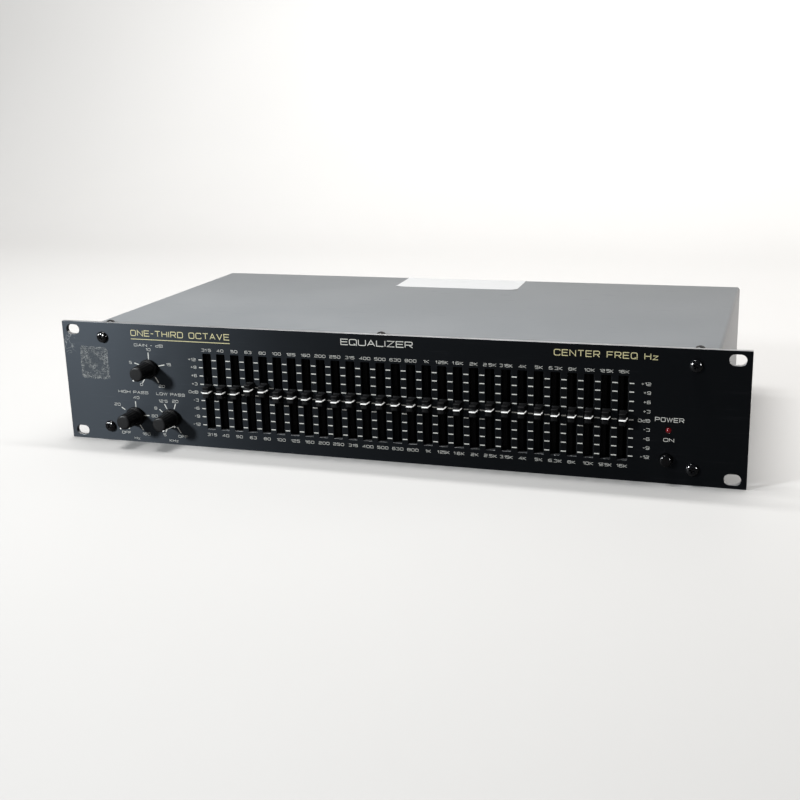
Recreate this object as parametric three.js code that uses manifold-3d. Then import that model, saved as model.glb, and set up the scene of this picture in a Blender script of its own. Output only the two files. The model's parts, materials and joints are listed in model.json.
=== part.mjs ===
// A two-unit rack graphic equalizer: band sliders, three rotary controls and a power button on a
// flat front panel, in front of a folded steel chassis.
// Lengths are millimetres. +X is right, +Y is back, +Z is up; the origin is the centre of the underside.

import * as THREE from 'three';
import { mergeVertices } from 'three/addons/utils/BufferGeometryUtils.js';
import Module from 'manifold-3d';

const wasm = await Module();
wasm.setup();

// Driving dimensions.

const rack = { unit: 44.45, units: 2, panelGap: 0.8, columnPitch: 465.1, rowPitch: 76.2 };
const sheet = 1.2;
const gap = 0.3;

const panel = { width: 482.6, height: rack.units * rack.unit - rack.panelGap, thickness: 3.2, centreZ: 41 };
const chassis = { width: 443.6, depth: 232, height: 81.5 };
const rackSlot = { width: 10.5, height: 7.1 };

const seatY = -chassis.depth / 2; // the rear face of the front panel
const frontY = seatY - panel.thickness;
const backY = chassis.depth / 2;
const flangeFrontY = seatY + gap; // the chassis flange stands just behind the panel
const flangeBackY = flangeFrontY + sheet;
const behindFlangeY = flangeBackY + 2 * gap;

// Band controls: heights are measured from the panel's centre.
const bank = {
  pitch: 10.742,
  centreX: 19.5,
  slotWidth: 6.3,
  slotTop: 24.8,
  slotBottom: -30.4,
  detentZ: -1.8,
  capShift: 0.6, // the slide potentiometers stand this far right of the slots' centre lines
};

// Each band and how far its cap stands above the detent.
const bands = [
  ['31_5_hz', 0.2],
  ['40_hz', 0.2],
  ['50_hz', 0.5],
  ['63_hz', 3.5],
  ['80_hz', 3.3],
  ['100_hz', -0.2],
  ['125_hz', 0.2],
  ['160_hz', 0],
  ['200_hz', -0.5],
  ['250_hz', -0.6],
  ['315_hz', 0.2],
  ['400_hz', -0.3],
  ['500_hz', 0],
  ['630_hz', -0.1],
  ['800_hz', -0.1],
  ['1_khz', 0.1],
  ['1_25_khz', -0.3],
  ['1_6_khz', -0.6],
  ['2_khz', -1.1],
  ['2_5_khz', 0.3],
  ['3_15_khz', 0.3],
  ['4_khz', 0.3],
  ['5_khz', 0.3],
  ['6_3_khz', -0.1],
  ['8_khz', -0.2],
  ['10_khz', 0],
  ['12_5_khz', 0.2],
  ['16_khz', -0.3],
];

const cap = {
  out: 7.9, // from the panel's face to the crest
  baseHalf: 2.45,
  crestHalf: 2.05,
  foot: { half: 2.6, halfHeight: 4.75, near: 0.4, far: 1.3 },
};
const lever = { thickness: 1.2, height: 4, reach: 11.5 };
const slidePot = { width: 8.4, depth: 10, top: 31.5, bottom: -37, slotWidth: 2.4, slotDepth: 8.5 };

// Rotary controls: the angle is clockwise from straight up, seen from the front.
const rotaries = [
  { name: 'gain', x: -172.3, z: 11.7, angle: 210 },
  { name: 'high_pass', x: -186.3, z: -24.4, angle: 210 },
  { name: 'low_pass', x: -157.4, z: -24.2, angle: 145 },
];
const knob = {
  skirt: 7,
  skirtOut: 3.2,
  gripFoot: 6,
  gripTop: 5.2,
  near: 0.5,
  out: 18.4,
  bore: 3.3,
  boreEnd: 12.4,
};
const shaft = { radius: 3, out: 12, back: 12.4, flat: 2.3 };
const pot = {
  radius: 8.2,
  depth: 9.5,
  bush: 3.8,
  nut: 5.1,
  nutThickness: 2,
  panelHole: 5.8,
  flangeHole: 4.3,
};

const button = { x: 192, z: -28.2, radius: 4, out: 4.3, collar: 2, stem: 2.2, stemEnd: 12, travel: 3 };
const led = { x: 192.8, z: -8.8, radius: 1.6, out: 1.3 };
const frontScrew = { x: 208.2, z: 33.4, head: 4.1, rise: 2.7, shank: 1.9, length: 8.5, hole: 2.4 };
const coverScrew = {
  columns: [-211, -1, 209],
  behindFront: 16.5,
  head: 3,
  rise: 1.9,
  shank: 1.4,
  length: 5,
  hole: 1.9,
};

// Colours and finishes.

const finish = (color, roughness, metalness) =>
  new THREE.MeshStandardMaterial({ color, roughness, metalness });
const finishes = {
  panelPaint: finish(0x17191c, 0.42, 0.1),
  coverPaint: finish(0x8d8f92, 0.5, 0.2),
  steel: finish(0xb4b7ba, 0.4, 0.85),
  capPlastic: finish(0x1c1d1f, 0.5, 0),
  knobPlastic: finish(0x141516, 0.45, 0),
  blackScrew: finish(0x101114, 0.3, 0.6),
  redLens: finish(0x8c1018, 0.25, 0),
  board: finish(0x2f5a36, 0.55, 0),
  windingTape: finish(0xc9a23a, 0.6, 0),
  blackPlastic: finish(0x18191a, 0.5, 0),
};

// Shape helpers. Every piece is made of closed meshes joined and cut as solids.

function solidOf(geometry) {
  geometry.deleteAttribute('normal');
  geometry.deleteAttribute('uv');
  const merged = mergeVertices(geometry, 1e-4);
  const vertProperties = new Float32Array(merged.getAttribute('position').array);
  const triVerts = new Uint32Array(merged.index.array);
  return new wasm.Manifold(new wasm.Mesh({ numProp: 3, vertProperties, triVerts }));
}

function geometryOf(solid) {
  const mesh = solid.getMesh();
  const geometry = new THREE.BufferGeometry();
  geometry.setAttribute('position', new THREE.BufferAttribute(mesh.vertProperties, 3));
  geometry.setIndex(new THREE.BufferAttribute(mesh.triVerts, 1));
  const faceted = geometry.toNonIndexed();
  faceted.computeVertexNormals();
  return faceted;
}

const join = (solids) => solids.reduce((whole, piece) => whole.add(piece));
const cut = (solid, tools) => tools.reduce((left, tool) => left.subtract(tool), solid);

// A block between two limits on each axis.
function block(x, y, z) {
  const geometry = new THREE.BoxGeometry(x[1] - x[0], y[1] - y[0], z[1] - z[0]);
  geometry.translate((x[0] + x[1]) / 2, (y[0] + y[1]) / 2, (z[0] + z[1]) / 2);
  return solidOf(geometry);
}

// A round bar along Y or Z, at a place on the other two axes.
function barY(radius, y, x, z, sides = 20) {
  const geometry = new THREE.CylinderGeometry(radius, radius, y[1] - y[0], sides);
  geometry.translate(0, (y[0] + y[1]) / 2, 0);
  geometry.translate(x, 0, z);
  return solidOf(geometry);
}

function barZ(radius, z, x, y, sides = 16) {
  const geometry = new THREE.CylinderGeometry(radius, radius, z[1] - z[0], sides);
  geometry.rotateX(Math.PI / 2);
  geometry.translate(x, y, (z[0] + z[1]) / 2);
  return solidOf(geometry);
}

// A turned piece whose profile is [radius, distance in front of the panel], from back to front.
function turned(profile, sides) {
  const geometry = new THREE.LatheGeometry(profile.map(([r, out]) => new THREE.Vector2(r, out)), sides);
  geometry.rotateX(Math.PI);
  return solidOf(geometry);
}

// A slot with round ends, wider than it is tall, as a bar along Y.
function obround(y, x, z, width, height) {
  const radius = height / 2;
  const reach = width / 2 - radius;
  const middle = block([x - reach, x + reach], y, [z - radius, z + radius]);
  return join([middle, barY(radius, y, x - reach, z, 24), barY(radius, y, x + reach, z, 24)]);
}

const span = (middle, size) => [middle - size / 2, middle + size / 2];

// A domed screw head with a cross recess, on a plain shank; it points out of the front panel.
function screw(size, sides) {
  const steps = 4;
  const dome = Array.from({ length: steps + 1 }, (_, i) => {
    const turn = (i / steps) * (Math.PI / 2);
    return [size.head * Math.cos(turn), size.rise * (0.25 + 0.75 * Math.sin(turn))];
  });
  dome[steps][0] = 0;
  const underHead = 0.05;
  const shank = [[0, -size.length], [size.shank, -size.length], [size.shank, underHead]];
  const profile = [...shank, [size.head, underHead], ...dome];
  const arm = size.head * 0.52;
  const web = size.head * 0.11;
  const recess = [-size.rise - 1, -size.rise * 0.45];
  const cross = [block([-arm, arm], recess, [-web, web]), block([-web, web], recess, [-arm, arm])];
  return cut(turned(profile, sides), cross);
}

// Assembly helpers.

const equalizer = new THREE.Group();
const panelGroup = new THREE.Group();
panelGroup.position.set(0, frontY, panel.centreZ);
equalizer.add(panelGroup);

function addPart(parent, name, solid, material, place = [0, 0, 0]) {
  const mesh = new THREE.Mesh(geometryOf(solid), material);
  mesh.name = name;
  mesh.position.set(...place);
  parent.add(mesh);
  return mesh;
}

const bandX = (index) => bank.centreX + (index - (bands.length - 1) / 2) * bank.pitch;
const sliderX = (index) => bandX(index) + bank.capShift;
const rackHoles = [-1, 1].flatMap((side) =>
  [-1, 1].map((row) => [side * rack.columnPitch / 2, row * rack.rowPitch / 2]));
const frontScrews = [
  ['front_screw_upper_left', -frontScrew.x, frontScrew.z],
  ['front_screw_upper_right', frontScrew.x, frontScrew.z],
  ['front_screw_lower_left', -frontScrew.x, -frontScrew.z],
  ['front_screw_lower_right', frontScrew.x, -frontScrew.z],
];

// Front panel, in X and Z about its own centre.

function frontPanel() {
  const through = [-1, panel.thickness + 1];
  const slab = block(span(0, panel.width), [0, panel.thickness], span(0, panel.height));
  const rackSlots = rackHoles.map(([x, z]) => obround(through, x, z, rackSlot.width, rackSlot.height));
  const slotZ = [bank.slotBottom, bank.slotTop];
  const bandSlots = bands.map((_, i) => block(span(bandX(i), bank.slotWidth), through, slotZ));
  const potHoles = rotaries.map(({ x, z }) => barY(pot.panelHole, through, x, z, 24));
  const screwHoles = frontScrews.map(([, x, z]) => barY(frontScrew.hole, through, x, z, 12));
  const buttonHole = barY(button.radius + gap, through, button.x, button.z, 24);
  const ledHole = barY(led.radius + gap, through, led.x, led.z, 16);
  const solid = cut(slab, [...rackSlots, ...bandSlots, ...potHoles, ...screwHoles, buttonHole, ledHole]);
  addPart(panelGroup, 'front_panel', solid, finishes.panelPaint);
}

// Chassis: a folded tray with a front flange, a separate rear panel and a wrap-over cover.

const inside = chassis.width / 2 - sheet - gap; // the outer face of the tray's side lips
const coverScrewY = frontY + coverScrew.behindFront;
const flangeHalf = inside - sheet; // clear of the cover's rounded folds
const tray = {
  top: chassis.height - sheet - gap,
  back: backY - 2 * sheet,
  sideLip: 16,
  rearLip: 14,
  returnDepth: 26,
};

function frontFlange() {
  const through = [flangeFrontY - 1, flangeBackY + 1];
  const bankX = [bandX(0) - bank.pitch, bandX(bands.length - 1) + bank.pitch];
  const bankZ = [panel.centreZ + slidePot.bottom - 1, panel.centreZ + slidePot.top + 1];
  const hole = (radius, { x, z }, sides) => barY(radius, through, x, panel.centreZ + z, sides);
  const holes = [
    block(bankX, through, bankZ),
    ...rotaries.map((rotary) => hole(pot.flangeHole, rotary, 20)),
    ...frontScrews.map(([, x, z]) => hole(frontScrew.shank + gap, { x, z }, 12)),
    hole(button.radius + gap, button, 20),
    hole(led.radius + 2 * gap, led, 16),
  ];
  return cut(block(span(0, 2 * flangeHalf), [flangeFrontY, flangeBackY], [0, tray.top]), holes);
}

const boardSeats = [-175, -60, 60].flatMap((x) => [-70, 60].map((y) => [x, y]));
const seatRadius = 3.5;
const mainBoardZ = 8;

function chassisTray() {
  const floor = block([-inside, inside], [flangeFrontY, tray.back], [0, sheet]);
  const lips = [-1, 1].map((side) => {
    const x = side > 0 ? [inside - sheet, inside] : [-inside, sheet - inside];
    return block(x, [flangeFrontY, tray.back], [0, tray.sideLip]);
  });
  const rearLip = block([-inside, inside], [tray.back - sheet, tray.back], [0, tray.rearLip]);
  const returnY = [flangeFrontY, flangeFrontY + tray.returnDepth];
  const topReturn = block(span(0, 2 * flangeHalf), returnY, [tray.top - sheet, tray.top]);
  const seats = boardSeats.map(([x, y]) => barZ(seatRadius, [sheet / 2, mainBoardZ - gap], x, y, 10));
  const screwHoles = coverScrew.columns.map((x) =>
    barZ(coverScrew.shank + gap, [tray.top - 2 * sheet, tray.top + 1], x, coverScrewY));
  const solid = cut(join([floor, ...lips, rearLip, topReturn, frontFlange(), ...seats]), screwHoles);
  addPart(equalizer, 'chassis_tray', solid, finishes.steel);
}

// The cover's outline in X and Z: one sheet with a rounded fold along each top edge.
function coverOutline() {
  const outer = chassis.width / 2;
  const fold = 2.4;
  const bottom = sheet + gap;
  const shape = new THREE.Shape();
  shape.moveTo(outer, bottom);
  shape.absarc(outer - fold, chassis.height - fold, fold, 0, Math.PI / 2, false);
  shape.absarc(fold - outer, chassis.height - fold, fold, Math.PI / 2, Math.PI, false);
  shape.lineTo(-outer, bottom);
  shape.lineTo(sheet - outer, bottom);
  shape.absarc(fold - outer, chassis.height - fold, fold - sheet, Math.PI, Math.PI / 2, true);
  shape.absarc(outer - fold, chassis.height - fold, fold - sheet, Math.PI / 2, 0, true);
  shape.lineTo(outer - sheet, bottom);
  shape.closePath();
  return shape;
}

function topCover() {
  const length = backY - flangeFrontY;
  const options = { depth: length, bevelEnabled: false, curveSegments: 4 };
  const geometry = new THREE.ExtrudeGeometry(coverOutline(), options);
  geometry.rotateX(Math.PI / 2);
  geometry.translate(0, backY, 0);
  const holes = coverScrew.columns.map((x) =>
    barZ(coverScrew.hole, [chassis.height - 3, chassis.height + 1], x, coverScrewY));
  addPart(equalizer, 'top_cover', cut(solidOf(geometry), holes), finishes.coverPaint);
}

// Rear panel and its fittings, with heights above the underside.

const rear = { front: backY - 2 * sheet + gap, back: backY - sheet + gap };
const fittingY = rear.back + 0.1; // where a fitting's flange sits on the rear panel
const inlet = {
  x: -178,
  z: 42,
  width: 27.4,
  height: 20,
  depth: 22,
  flangeWidth: 50,
  flangeHeight: 26,
  flange: 2.5,
  wall: 2,
  bladePitch: 7,
};
const fuse = { x: -128, z: 42, radius: 6, capRadius: 8, out: 9, depth: 26 };
const sockets = [
  { name: 'output_socket', x: 60, hasPins: true },
  { name: 'input_socket', x: 108, hasPins: false },
];
const xlr = {
  z: 44,
  radius: 11.6,
  depth: 18,
  flangeWidth: 26,
  flangeHeight: 31,
  flange: 1.8,
  mouth: 9.4,
  pin: 1.2,
  pinCircle: 4.4,
};
const strip = { x: 172, z: 42, width: 62, height: 22, out: 10, studs: 6, studRadius: 2.6, opening: 8 };

function rearPanel() {
  const edge = inside - sheet - gap;
  const through = [rear.front - 1, rear.back + 1];
  const opening = (x, z, width, height) =>
    block(span(x, width + 2 * gap), through, span(z, height + 2 * gap));
  const holes = [
    opening(inlet.x, inlet.z, inlet.width, inlet.height),
    opening(strip.x, strip.z, strip.width - 2 * strip.opening, strip.opening),
    barY(fuse.radius + gap, through, fuse.x, fuse.z, 18),
    ...sockets.map(({ x }) => barY(xlr.radius + gap, through, x, xlr.z, 24)),
  ];
  const slab = block([-edge, edge], [rear.front, rear.back], [sheet + gap, tray.top]);
  addPart(equalizer, 'rear_panel', cut(slab, holes), finishes.coverPaint);
}

function powerInlet() {
  const { width, height, depth, flangeWidth, flangeHeight, flange, wall, bladePitch } = inlet;
  const face = block(span(0, flangeWidth), [0, flange], span(0, flangeHeight));
  const body = block(span(0, width), [-depth, 1], span(0, height));
  const hollow = [2 * wall + 1 - depth, flange + 1];
  const mouth = block(span(0, width - 2 * wall), hollow, span(0, height - 2 * wall));
  const blades = [-1, 0, 1].map((place) => {
    const z = place === 0 ? [1, 5] : [-5, -1];
    return block(span(place * bladePitch, 2), [hollow[0] - 1, -2], z);
  });
  const solid = join([cut(join([face, body]), [mouth]), ...blades]);
  addPart(equalizer, 'power_inlet', solid, finishes.blackPlastic, [inlet.x, fittingY, inlet.z]);
}

function fuseHolder() {
  const head = barY(fuse.capRadius, [0, fuse.out], 0, 0, 18);
  const body = barY(fuse.radius, [-fuse.depth, 1], 0, 0, 18);
  const slot = block([-5, 5], [fuse.out - 1.2, fuse.out + 1], [-0.7, 0.7]);
  const solid = cut(join([head, body]), [slot]);
  addPart(equalizer, 'fuse_holder', solid, finishes.blackPlastic, [fuse.x, fittingY, fuse.z]);
}

function xlrSocket({ name, x, hasPins }) {
  const flange = block(span(0, xlr.flangeWidth), [0, xlr.flange], span(0, xlr.flangeHeight));
  const barrel = barY(xlr.radius, [-xlr.depth, xlr.flange / 2], 0, 0, 24);
  const housing = join([flange, barrel]);
  const spots = [-1, 0, 1].map((i) => (i * Math.PI) / 2.6 - Math.PI / 2);
  const at = (angle) => [xlr.pinCircle * Math.cos(angle), xlr.pinCircle * Math.sin(angle)];
  const deep = 4 - xlr.depth;
  const pins = spots.map((angle) => barY(xlr.pin, [deep - 1, -2], ...at(angle), 8));
  const sleeves = spots.map((angle) => barY(xlr.pin, [deep, 4], ...at(angle), 8));
  const mouth = barY(xlr.mouth, [deep, 4], 0, 0, 24);
  const groove = 0.6;
  const core = barY(xlr.mouth - groove, [-2, 5], 0, 0, 24);
  const rim = cut(barY(xlr.mouth + groove, [-1, 4], 0, 0, 24), [core]);
  const solid = hasPins ? join([cut(housing, [mouth]), ...pins]) : cut(housing, [rim, ...sleeves]);
  addPart(equalizer, name, solid, finishes.steel, [x, fittingY, xlr.z]);
}

function terminalStrip() {
  const { width, height, out, studs, studRadius, opening } = strip;
  const base = block(span(0, width), [0, out / 2], span(0, height));
  const neck = block(span(0, width - 2 * opening), [-6, 1], span(0, opening));
  const fin = 1.8;
  const pitch = (width - 6) / studs;
  const fins = Array.from({ length: studs + 1 }, (_, i) =>
    block(span((i - studs / 2) * pitch, fin), [1, out], span(0, height)));
  const posts = Array.from({ length: studs }, (_, i) =>
    barY(studRadius, [1, out - 2], (i + 0.5 - studs / 2) * pitch, 0, 10));
  const solid = join([base, neck, ...fins, ...posts]);
  addPart(equalizer, 'terminal_strip', solid, finishes.blackPlastic, [strip.x, fittingY, strip.z]);
}

// Band sliders: cap and lever in one, about the slot's centre line and the cap's pointer line.

function sliderSolid() {
  const base = cap.foot.far - 0.1;
  const side = [[base, 4], [3.5, 4.1], [6.9, 3.9], [7.1, 1.2], [cap.out, 0.55]];
  const outline = [...side, ...side.map(([out, up]) => [out, -up]).reverse()];
  const shape = new THREE.Shape(outline.map(([out, up]) => new THREE.Vector2(out, up)));
  const geometry = new THREE.ExtrudeGeometry(shape, { depth: 1, bevelEnabled: false });
  const spots = geometry.getAttribute('position');
  for (let i = 0; i < spots.count; i += 1) {
    const out = spots.getX(i);
    const half = THREE.MathUtils.mapLinear(out, base, cap.out, cap.baseHalf, cap.crestHalf);
    spots.setXYZ(i, (1 - 2 * spots.getZ(i)) * half, -out, spots.getY(i));
  }
  const { half, halfHeight, near, far } = cap.foot;
  const foot = block([-half, half], [-far, -near], [-halfHeight, halfHeight]);
  const blade = block(span(0, lever.thickness), [-far - 1, lever.reach], span(0, lever.height));
  return join([solidOf(geometry), foot, blade]);
}

function sliders() {
  const solid = sliderSolid();
  bands.forEach(([band, lift], i) => {
    addPart(panelGroup, `slider_${band}`, solid, finishes.capPlastic, [sliderX(i), 0, bank.detentZ + lift]);
  });
}

// The slider board: one soldered assembly of a printed board and a slide potentiometer for each band.
function sliderBoard() {
  const potFront = behindFlangeY;
  const potBack = potFront + slidePot.depth;
  const z = [panel.centreZ + slidePot.bottom, panel.centreZ + slidePot.top];
  const boardX = span(bank.centreX + bank.capShift, bands.length * bank.pitch);
  const board = block(boardX, [potBack - 0.2, potBack + 1.6], z);
  const housings = bands.map((_, i) =>
    block(span(sliderX(i), slidePot.width), [potFront, potBack], [z[0] + 1, z[1] - 1]));
  const tracks = bands.map((_, i) => {
    const y = [potFront - 1, potFront + slidePot.slotDepth];
    return block(span(sliderX(i), slidePot.slotWidth), y, [z[0] + 5, z[1] - 5]);
  });
  addPart(equalizer, 'slider_board', cut(join([board, ...housings]), tracks), finishes.board);
}

// Rotary controls: knob and shaft turn together in a fixed potentiometer.

function knobSolid() {
  const profile = [
    [0, knob.boreEnd], [knob.bore, knob.boreEnd], [knob.bore, knob.near], [knob.skirt, knob.near],
    [knob.skirt, knob.skirtOut - 0.5], [knob.skirt - 0.5, knob.skirtOut], [knob.gripFoot, knob.skirtOut],
    [knob.gripTop, knob.out - 0.7], [knob.gripTop - 0.6, knob.out], [0, knob.out],
  ];
  const grooveZ = [knob.gripTop - 2.5, knob.gripTop + 1];
  const pointerGroove = block([-0.5, 0.5], [-knob.out - 1, -knob.out + 0.6], grooveZ);
  return cut(turned(profile, 28), [pointerGroove]);
}

function shaftSolid() {
  const round = barY(shaft.radius, [-shaft.out, shaft.back], 0, 0, 20);
  const flat = block([-4, 4], [-shaft.out - 1, -1], [shaft.flat, 4]);
  return cut(round, [flat]);
}

function potSolid() {
  const flangeFront = flangeFrontY - frontY;
  const front = behindFlangeY - frontY;
  const body = barY(pot.radius, [front, front + pot.depth], 0, 0, 24);
  const bush = barY(pot.bush, [flangeFront - pot.nutThickness - 0.6, front + 1], 0, 0, 20);
  const nut = barY(pot.nut, [flangeFront - pot.nutThickness - 0.1, flangeFront - 0.1], 0, 0, 6);
  const tagZ = [-pot.radius - 4, -pot.radius / 2];
  const tags = [-5, 0, 5].map((x) => block(span(x, 2), [front + 3, front + 4], tagZ));
  const bore = barY(shaft.radius + gap, [0, shaft.back + gap], 0, 0, 20);
  return cut(join([body, bush, nut, ...tags]), [bore]);
}

function rotaryControls() {
  rotaries.forEach(({ name, x, z, angle }) => {
    const turning = new THREE.Group();
    turning.position.set(x, 0, z);
    turning.rotation.y = THREE.MathUtils.degToRad(angle);
    panelGroup.add(turning);
    addPart(turning, `${name}_knob`, knobSolid(), finishes.knobPlastic);
    addPart(turning, `${name}_shaft`, shaftSolid(), finishes.steel);
    addPart(panelGroup, `${name}_pot`, potSolid(), finishes.steel, [x, 0, z]);
  });
}

// Power button, its switch and the indicator.

function powerButton() {
  const { radius, out, collar, stem, stemEnd } = button;
  const profile = [
    [0, -stemEnd], [stem, -stemEnd], [stem, -collar], [radius, -collar], [radius, out - 1.6],
    [radius - 0.45, out - 0.7], [radius - 1.3, out - 0.2], [0, out],
  ];
  addPart(panelGroup, 'power_button', turned(profile, 24), finishes.blackPlastic, [button.x, 0, button.z]);
}

function powerSwitch() {
  const front = button.travel + button.collar + 2 * gap;
  const body = block([-7, 7], [front, front + 24], [-6.5, 6.5]);
  const bore = barY(button.stem + gap, [front - 1, button.stemEnd + button.travel + gap], 0, 0, 16);
  const terminals = [-4, 4].map((x) => block(span(x, 2), [front + 23, front + 29], [-2.5, 2.5]));
  const solid = cut(join([body, ...terminals]), [bore]);
  addPart(panelGroup, 'power_switch', solid, finishes.blackPlastic, [button.x, 0, button.z]);
}

function powerLed() {
  const { radius, out } = led;
  const rim = 2.1;
  const base = flangeBackY - frontY + 2 * gap;
  const lens = turned([
    [0, -base - 1.2], [rim, -base - 1.2], [rim, -base], [radius, -base], [radius, out - radius * 0.9],
    [radius * 0.82, out - radius * 0.4], [radius * 0.45, out - radius * 0.1], [0, out],
  ], 16);
  const legs = [-0.9, 0.9].map((x) => block([x - 0.25, x + 0.25], [base + 1, base + 8], [-0.25, 0.25]));
  addPart(panelGroup, 'power_led', join([lens, ...legs]), finishes.redLens, [led.x, 0, led.z]);
}

function screws() {
  const panelScrew = screw(frontScrew, 20);
  frontScrews.forEach(([name, x, z]) =>
    addPart(panelGroup, name, panelScrew, finishes.blackScrew, [x, 0, z]));
  const lidScrew = screw(coverScrew, 16);
  ['left', 'middle', 'right'].forEach((side, i) => {
    const place = [coverScrew.columns[i], coverScrewY, chassis.height];
    const mesh = addPart(equalizer, `cover_screw_${side}`, lidScrew, finishes.blackScrew, place);
    mesh.rotation.x = -Math.PI / 2;
  });
}

// Inside: the main board as one soldered assembly, and the mains transformer.

function mainBoard() {
  const top = mainBoardZ + 1.6;
  const board = block([-190, 75], [-85, 75], [mainBoardZ, top]);
  const chips = Array.from({ length: 14 }, (_, i) => {
    const x = -165 + 17 * i;
    return block([x - 3.3, x + 3.3], [-62, -42], [top - 0.2, top + 4]);
  });
  const capacitors = [-170, -145, -120].map((x) => barZ(8, [top - 0.2, top + 26], x, 50, 14));
  const regulators = [-80, -50].map((x) => block([x - 8, x + 8], [46, 52], [top - 0.2, top + 22]));
  addPart(equalizer, 'main_board', join([board, ...chips, ...capacitors, ...regulators]), finishes.board);
}

const transformer = { x: 150, y: 35, width: 66, depth: 36, height: 55, limb: 22, window: 11 };

function mainsTransformer() {
  const { x, y, width, depth, height, limb, window } = transformer;
  const foot = sheet + gap;
  const z = [foot, foot + height];
  const stack = block([x - width / 2, x + width / 2], [y - depth / 2, y + depth / 2], z);
  const windows = [-1, 1].map((side) => {
    const near = x + side * (limb / 2);
    const far = near + side * window;
    const windowX = [Math.min(near, far), Math.max(near, far)];
    return block(windowX, [y - depth, y + depth], [z[0] + window, z[1] - window]);
  });
  addPart(equalizer, 'transformer_core', cut(stack, windows), finishes.steel);

  const reach = limb / 2 + window - 2 * gap;
  const coilZ = [z[0] + window + 2 * gap, z[1] - window - 2 * gap];
  const coil = block([x - reach, x + reach], [y - depth / 2 - 9, y + depth / 2 + 9], coilZ);
  const core = block(span(x, limb + 2 * gap), span(y, depth + 2 * gap), [0, height + 5]);
  addPart(equalizer, 'transformer_winding', cut(coil, [core]), finishes.windingTape);
}

frontPanel();
chassisTray();
topCover();
rearPanel();
powerInlet();
fuseHolder();
sockets.forEach(xlrSocket);
terminalStrip();
sliders();
sliderBoard();
rotaryControls();
powerButton();
powerSwitch();
powerLed();
screws();
mainBoard();
mainsTransformer();

export default equalizer;
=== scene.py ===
"""A two-unit rack graphic equalizer: its looks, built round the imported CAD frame.

Pieces are drawn in millimetres in a flat frame of their own (the panel's face, the cover's top or the
rear panel): first axis right, second axis up the sheet, third axis out of the sheet.
"""
import json
import math

import bmesh
import bpy
from mathutils import Matrix, Vector

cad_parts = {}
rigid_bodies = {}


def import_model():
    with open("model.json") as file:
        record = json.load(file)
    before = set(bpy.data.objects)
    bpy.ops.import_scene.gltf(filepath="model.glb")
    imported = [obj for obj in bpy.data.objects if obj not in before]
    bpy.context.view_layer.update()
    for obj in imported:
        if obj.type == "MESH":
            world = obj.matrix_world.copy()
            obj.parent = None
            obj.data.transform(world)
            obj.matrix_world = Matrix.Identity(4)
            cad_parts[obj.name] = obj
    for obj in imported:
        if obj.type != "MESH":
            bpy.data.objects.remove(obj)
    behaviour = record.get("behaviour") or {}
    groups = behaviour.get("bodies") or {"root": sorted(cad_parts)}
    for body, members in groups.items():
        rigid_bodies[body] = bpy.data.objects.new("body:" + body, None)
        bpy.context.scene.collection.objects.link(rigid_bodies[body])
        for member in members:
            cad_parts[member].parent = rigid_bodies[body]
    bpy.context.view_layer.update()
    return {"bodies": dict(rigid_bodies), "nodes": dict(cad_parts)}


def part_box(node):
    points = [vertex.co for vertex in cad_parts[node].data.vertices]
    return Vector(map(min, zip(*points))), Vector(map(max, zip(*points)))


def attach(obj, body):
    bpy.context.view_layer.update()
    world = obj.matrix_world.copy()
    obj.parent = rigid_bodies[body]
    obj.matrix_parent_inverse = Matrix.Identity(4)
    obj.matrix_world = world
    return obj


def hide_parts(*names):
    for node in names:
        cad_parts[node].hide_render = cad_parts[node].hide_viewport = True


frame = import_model()

MM = 0.001


# ---------------------------------------------------------------- places taken from the frame

def local_frame(right, up, out, origin):
    """The matrix that takes millimetres on a sheet to metres in the part's frame."""
    matrix = Matrix((right, up, out)).transposed().to_4x4()
    matrix.translation = Vector(origin)
    return matrix @ Matrix.Scale(MM, 4)


panel_low, panel_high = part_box("front_panel")
cover_low, cover_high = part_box("top_cover")
rear_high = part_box("rear_panel")[1]
PANEL_MIDDLE = (panel_low.z + panel_high.z) / 2
PANEL = local_frame((1, 0, 0), (0, 0, 1), (0, -1, 0), (0, panel_low.y, PANEL_MIDDLE))
COVER = local_frame((1, 0, 0), (0, 1, 0), (0, 0, 1), (0, 0, cover_high.z))
REAR = local_frame((-1, 0, 0), (0, 0, 1), (0, 1, 0), (0, rear_high.y, 0))

PANEL_WIDTH = (panel_high.x - panel_low.x) / MM
PANEL_HEIGHT = (panel_high.z - panel_low.z) / MM
PANEL_THICKNESS = (panel_high.y - panel_low.y) / MM


def spot(sheet, node):
    """The middle of a CAD node on a sheet, in millimetres: right, up, out."""
    low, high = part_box(node)
    return sheet.inverted() @ ((low + high) / 2)


def standing(sheet, centre, degrees=0):
    """Where a piece drawn about its own axis stands on a sheet, turned by some degrees."""
    place = Matrix.Translation((centre.x, centre.y, 0)) @ Matrix.Rotation(math.radians(degrees), 4, "Z")
    return sheet @ place @ Matrix.Scale(1 / MM, 4)


def extent(sheet, node):
    """The lowest and highest corner of a CAD node on a sheet, in millimetres."""
    corners = [sheet.inverted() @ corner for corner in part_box(node)]
    return [Vector(map(pick, *corners)) for pick in (min, max)]


# ---------------------------------------------------------------- materials

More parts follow.
